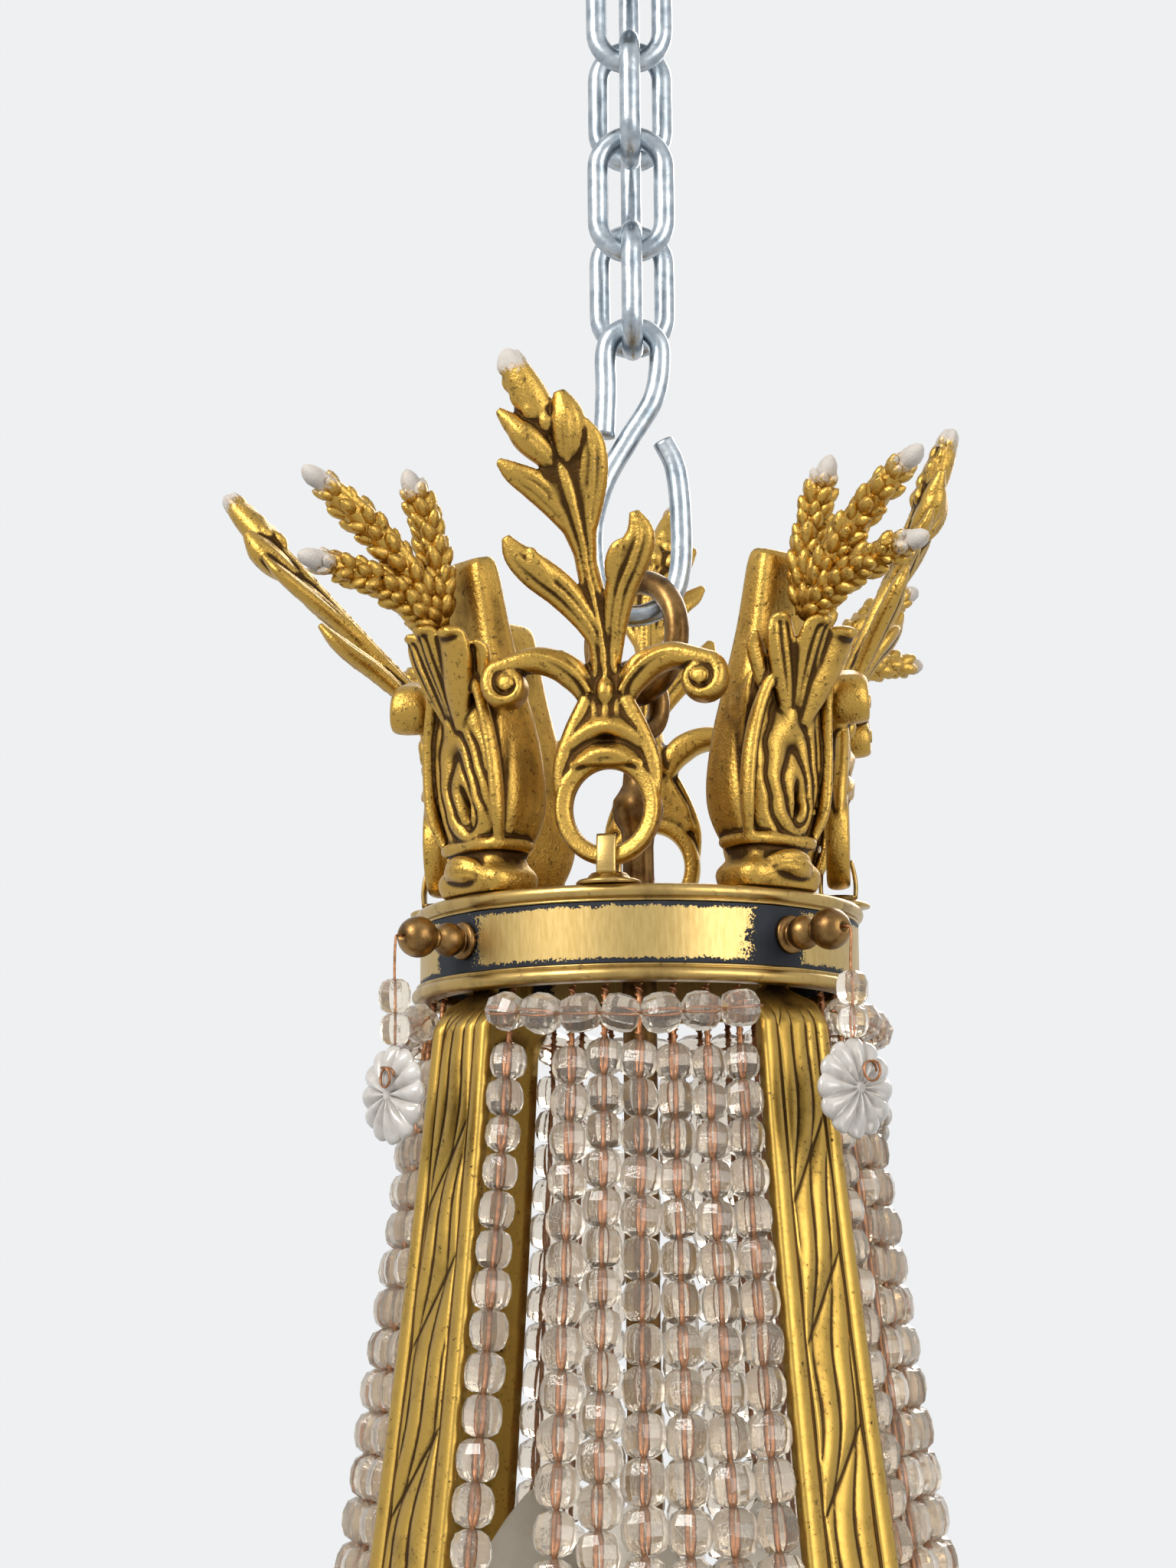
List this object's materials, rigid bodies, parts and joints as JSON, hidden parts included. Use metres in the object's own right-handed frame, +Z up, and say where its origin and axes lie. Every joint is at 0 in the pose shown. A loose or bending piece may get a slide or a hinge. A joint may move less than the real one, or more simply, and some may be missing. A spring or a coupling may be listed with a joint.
{
  "type": "basket chandelier",
  "caption": "Gilt metal basket chandelier with a banded crown of leafy ornaments, a tent and bowl of glass bead strands, hung by chain links and an S-hook.",
  "frame": {"origin": "middle of the ceiling plate's top face, where the chandelier hangs", "axes": "+Z up, along the height; -Y towards the front, +X to the viewer's right"},
  "size_m": [0.2162, 0.2088, 0.7451],
  "materials": {
    "zinc": "zinc plated",
    "bronze": "dark patina, rubbed",
    "gilt": "worn gilding",
    "brass": "polished, with dark stains",
    "worn_gilt": "worn gilding, chased",
    "field": "black patina with gilt panels",
    "bead_glass": "clear faceted glass with a rosy tint",
    "bulb_glass": "frosted"
  },
  "bodies": {
    "ceiling": {"ceiling_plate": "zinc"},
    "front_strand": {"chain_front_1": "zinc", "chain_front_2": "zinc", "chain_front_3": "zinc", "chain_front_4": "zinc"},
    "rear_strand": {"chain_rear_1": "zinc", "chain_rear_2": "zinc", "chain_rear_3": "zinc", "chain_rear_4": "zinc"},
    "hook": {"s_hook": "zinc"},
    "ring": {"suspension_ring": "bronze"},
    "chandelier": {"stem": "bronze", "stem_nut": "brass", "crown_plate": "worn_gilt", "band_drum": "field", "bottom_rim": "brass", "top_rim": "brass", "palmette_1": "gilt", "palmette_2": "gilt", "palmette_3": "gilt", "palmette_4": "gilt", "palmette_foot_1": "brass", "palmette_foot_2": "brass", "palmette_foot_3": "brass", "palmette_foot_4": "brass", "console_1": "gilt", "console_2": "gilt", "console_3": "gilt", "console_4": "gilt", "wheat_sheaf_1": "gilt", "wheat_sheaf_2": "gilt", "wheat_sheaf_3": "gilt", "wheat_sheaf_4": "gilt", "knob_pin_1": "bronze", "knob_pin_2": "bronze", "knob_pin_3": "bronze", "knob_pin_4": "bronze", "stay_1": "worn_gilt", "stay_2": "worn_gilt", "stay_3": "worn_gilt", "stay_4": "worn_gilt", "bead_panel_1": "bead_glass", "bead_panel_2": "bead_glass", "bead_panel_3": "bead_glass", "bead_panel_4": "bead_glass", "bead_swag_1": "bead_glass", "bead_swag_2": "bead_glass", "bead_swag_3": "bead_glass", "bead_swag_4": "bead_glass", "hoop": "gilt", "bead_basket": "bead_glass", "finial": "gilt", "lamp_cluster": "worn_gilt", "candle_bulb_1": "bulb_glass", "candle_bulb_2": "bulb_glass", "candle_bulb_3": "bulb_glass"},
    "pendant_1": {"pendant_1": "bead_glass"},
    "pendant_2": {"pendant_2": "bead_glass"},
    "pendant_3": {"pendant_3": "bead_glass"},
    "pendant_4": {"pendant_4": "bead_glass"}
  },
  "joints": [
    {"name": "front_strand_swing", "type": "hinge", "parent": "ceiling", "child": "front_strand", "pos_m": [0, 0, -0.032], "axis": [-0.0785, 0.9969, 0], "range_deg": [-20, 20]},
    {"name": "rear_strand_swing", "type": "hinge", "parent": "ceiling", "child": "rear_strand", "pos_m": [-0.00193, 0.02452, -0.01783], "axis": [-0.0785, 0.9969, 0], "range_deg": [-20, 20]},
    {"name": "hook_swing", "type": "hinge", "parent": "front_strand", "child": "hook", "pos_m": [0, 0, -0.14188], "axis": [-0.0785, 0.9969, 0], "range_deg": [-20, 20]},
    {"name": "ring_swing", "type": "hinge", "parent": "hook", "child": "ring", "pos_m": [0, 0, -0.2077], "axis": [0.7604, -0.6494, 0], "range_deg": [-10, 10]},
    {"name": "chandelier_swing", "type": "hinge", "parent": "ring", "child": "chandelier", "pos_m": [0, 0, -0.2319], "axis": [0.6494, 0.7604, 0], "range_deg": [-15, 15]},
    {"name": "pendant_1_swing", "type": "hinge", "parent": "chandelier", "child": "pendant_1", "pos_m": [0.0536, -0.0536, -0.309], "axis": [0.7071, -0.7071, 0], "range_deg": [-45, 45]},
    {"name": "pendant_2_swing", "type": "hinge", "parent": "chandelier", "child": "pendant_2", "pos_m": [0.0536, 0.0536, -0.309], "axis": [0.7071, 0.7071, 0], "range_deg": [-45, 45]},
    {"name": "pendant_3_swing", "type": "hinge", "parent": "chandelier", "child": "pendant_3", "pos_m": [-0.0536, 0.0536, -0.309], "axis": [-0.7071, 0.7071, 0], "range_deg": [-45, 45]},
    {"name": "pendant_4_swing", "type": "hinge", "parent": "chandelier", "child": "pendant_4", "pos_m": [-0.0536, -0.0536, -0.309], "axis": [-0.7071, -0.7071, 0], "range_deg": [-45, 45]}
  ],
  "couplings": [
    {"joint": "rear_strand_swing", "follows": "front_strand_swing", "ratio": 1}
  ]
}
